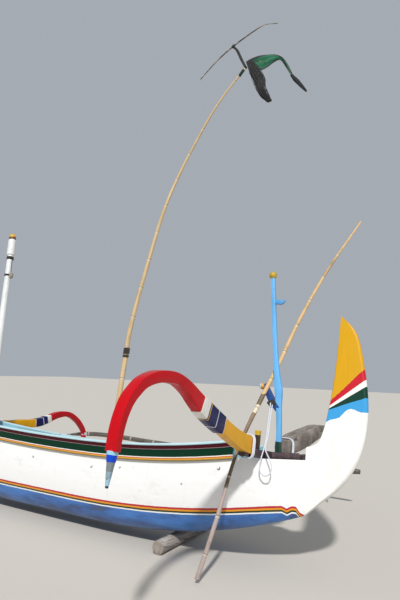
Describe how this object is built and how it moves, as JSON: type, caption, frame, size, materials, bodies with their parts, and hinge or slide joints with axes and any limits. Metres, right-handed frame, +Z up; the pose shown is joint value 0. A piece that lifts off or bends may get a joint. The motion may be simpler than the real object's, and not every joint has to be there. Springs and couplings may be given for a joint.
{
  "type": "outrigger canoe",
  "caption": "Wooden fishing canoe with curved outrigger arms, a fish-tail stern fin and its starboard float, beached on log rollers.",
  "frame": {"origin": "middle of the underside of the bounding box, on the ground under the log rollers", "axes": "+X to the bow, +Y to port, +Z up; the boat lies heeled 10 degrees to starboard"},
  "size_m": [4.904, 3.4608, 4.4847],
  "materials": {
    "white_paint": "white gloss paint on wood, a little scuffed",
    "pale_blue_paint": "worn pale blue gloss paint on wood",
    "sky_blue_paint": "worn sky blue gloss paint on wood",
    "green_paint": "dark green gloss paint with stripes",
    "red_paint": "red gloss paint with yellow, navy and white bands",
    "yellow_paint": "yellow gloss paint on wood",
    "bamboo": "dry bamboo with darker joints",
    "grey_wood": "weathered bare wood",
    "brown_wood": "dark weathered wood",
    "float_wood": "dark weathered bamboo",
    "white_rope": "twisted white rope",
    "black_fibre": "loose black fibre",
    "green_cloth": "thin green cloth"
  },
  "bodies": {
    "root": {"hull_stern": "white_paint", "hull_bow": "white_paint", "hull_bottom_aft": "white_paint", "hull_bottom_fore": "white_paint", "hull_bilge_port_aft": "white_paint", "hull_bilge_port_middle": "white_paint", "hull_bilge_port_fore": "white_paint", "hull_bilge_starboard_aft": "white_paint", "hull_bilge_starboard_middle": "white_paint", "hull_bilge_starboard_fore": "white_paint", "hull_side_port_aft": "white_paint", "hull_side_port_middle": "white_paint", "hull_side_port_fore": "white_paint", "hull_side_starboard_aft": "white_paint", "hull_side_starboard_middle": "white_paint", "hull_side_starboard_fore": "white_paint", "hull_rim_port": "white_paint", "hull_rim_starboard": "white_paint", "tail_fin": "white_paint", "bow_head": "white_paint", "mast": "white_paint", "strake_port": "green_paint", "strake_starboard": "green_paint", "gunwale_cap_port": "pale_blue_paint", "gunwale_cap_starboard": "pale_blue_paint", "thwart_1": "pale_blue_paint", "thwart_2": "pale_blue_paint", "thwart_3": "pale_blue_paint", "mast_thwart": "pale_blue_paint", "foredeck": "pale_blue_paint", "stern_post": "sky_blue_paint", "post_hook": "sky_blue_paint", "post_knob": "yellow_paint", "crook_ball": "yellow_paint", "mast_head": "yellow_paint", "arm_rear_port": "red_paint", "arm_front_port": "red_paint", "arm_front_starboard": "red_paint", "arm_rear_starboard": "grey_wood", "crossbeam_rear": "brown_wood", "crossbeam_front": "brown_wood", "stern_rail_port": "brown_wood", "stern_rail_starboard": "brown_wood", "bow_rail_port": "brown_wood", "bow_rail_starboard": "brown_wood", "mast_step": "brown_wood", "lashing_peg": "brown_wood", "flag_bow_stick": "brown_wood", "mast_block": "grey_wood", "floor_board": "grey_wood", "log_roller_rear": "grey_wood", "log_roller_front": "grey_wood", "float_starboard": "float_wood", "leaning_pole": "bamboo", "flag_pole": "bamboo", "flag_cloth": "green_cloth", "flag_spreader": "black_fibre", "flag_tassel_1": "black_fibre", "flag_tassel_2": "black_fibre", "hanging_rope": "white_rope"}
  },
  "joints": []
}
